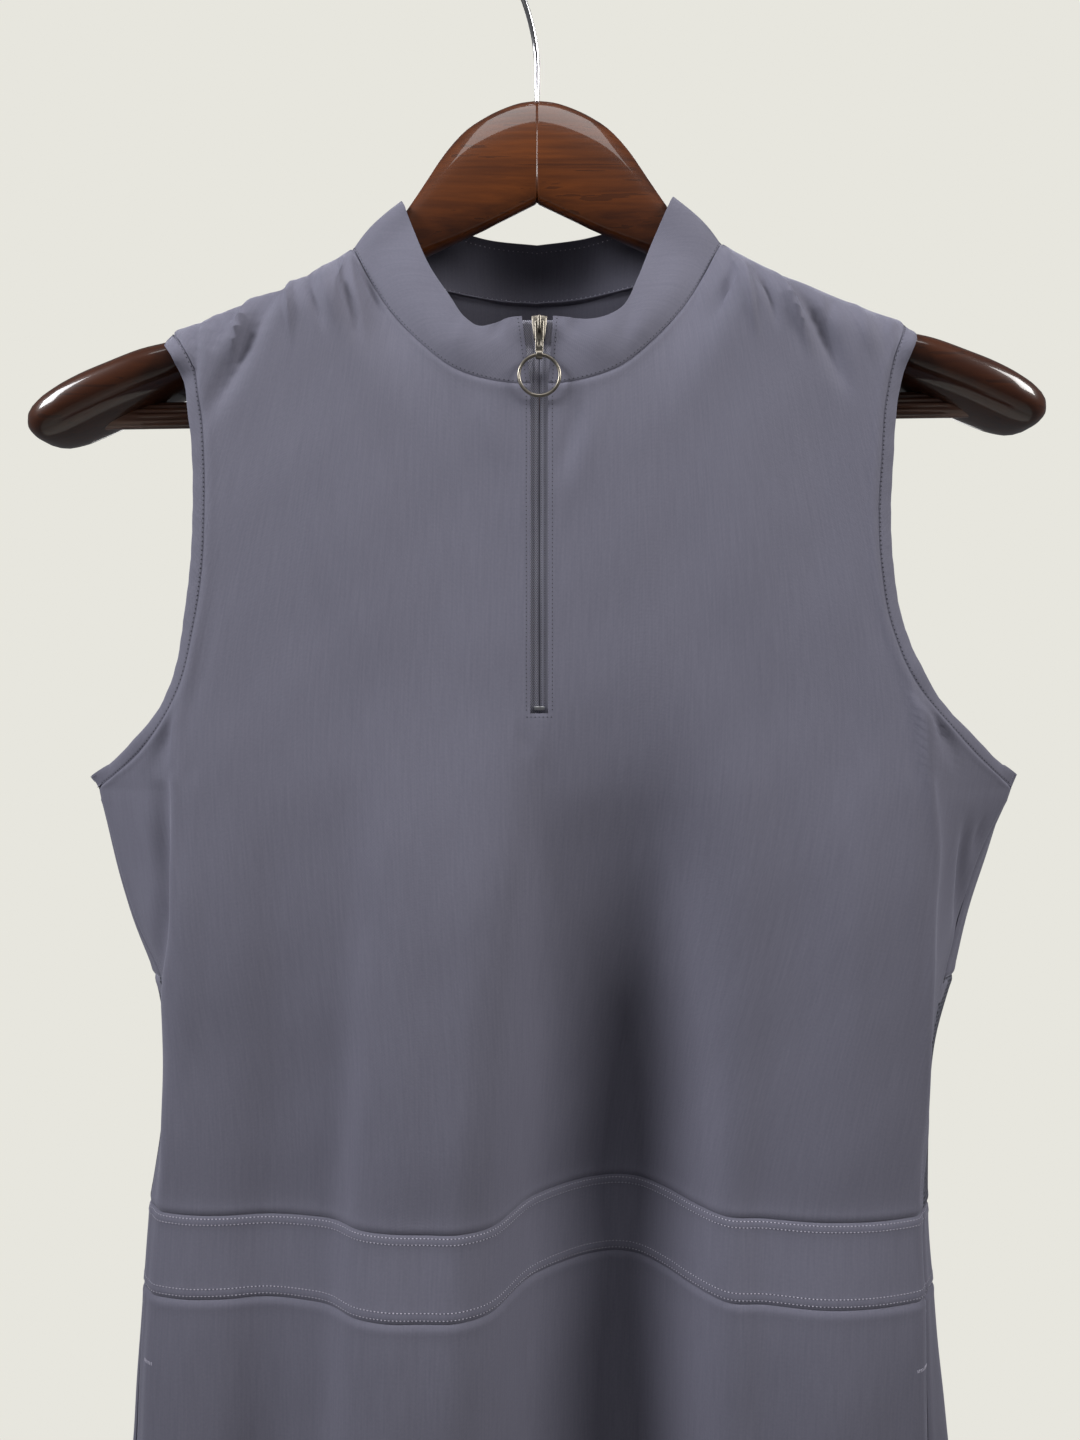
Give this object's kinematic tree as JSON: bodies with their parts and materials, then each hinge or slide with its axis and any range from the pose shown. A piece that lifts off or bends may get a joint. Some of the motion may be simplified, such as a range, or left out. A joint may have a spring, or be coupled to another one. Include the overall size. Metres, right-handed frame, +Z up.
{
  "type": "sleeveless zip-neck tennis dress on a wooden hanger",
  "caption": "Sleeveless knit tennis dress with stand collar and quarter zip, hanging on a wooden suit hanger with a trouser bar and wire hook.",
  "frame": {"origin": "where the hook's crook bears on a rail, on the wire's underside, straight above the hanger's centre line", "axes": "+Z up; +X to the dress's left-hand side as worn facing away, which is the picture's right; -Y towards the viewer, so the front faces -Y"},
  "size_m": [0.494, 0.1138, 1.0297],
  "materials": {
    "slate_knit": "smooth matt double knit, slate grey",
    "patterned_mesh": "fine patterned mesh, grey-blue",
    "zip_tape": "woven zip tape, coil behind",
    "aged_brass": "pale aged brass, worn bright at the edges",
    "steel_stop": "plain bright steel",
    "walnut": "dark walnut stain under clear gloss varnish",
    "walnut_bar": "walnut stain under clear varnish, grooved along its middle",
    "chrome_wire": "polished chrome"
  },
  "bodies": {
    "dress_on_hanger": {"front_bodice": "slate_knit", "back_bodice": "slate_knit", "back_mesh_panel": "patterned_mesh", "collar": "slate_knit", "waistband_front": "slate_knit", "waistband_back": "slate_knit", "skirt_front": "slate_knit", "skirt_back": "slate_knit", "armhole_band_left": "slate_knit", "armhole_band_right": "slate_knit", "pocket_bag_left": "slate_knit", "pocket_bag_right": "slate_knit", "zip_tape_left": "zip_tape", "zip_tape_right": "zip_tape", "zip_slider": "aged_brass", "zip_bottom_stop": "steel_stop", "hanger_wood": "walnut", "hanger_bar": "walnut_bar", "hanger_hook": "chrome_wire"},
    "pull_link": {"zip_pull_link": "aged_brass"},
    "pull_ring": {"zip_pull_ring": "aged_brass"}
  },
  "joints": [
    {"name": "link_hinge", "type": "hinge", "parent": "dress_on_hanger", "child": "pull_link", "pos_m": [0.00105, -0.0338, -0.1922], "axis": [-1, 0, 0], "range_deg": [0, 110]},
    {"name": "ring_hinge", "type": "hinge", "parent": "pull_link", "child": "pull_ring", "pos_m": [0.00105, -0.0338, -0.206], "axis": [-1, 0, 0], "range_deg": [0, 60]}
  ]
}
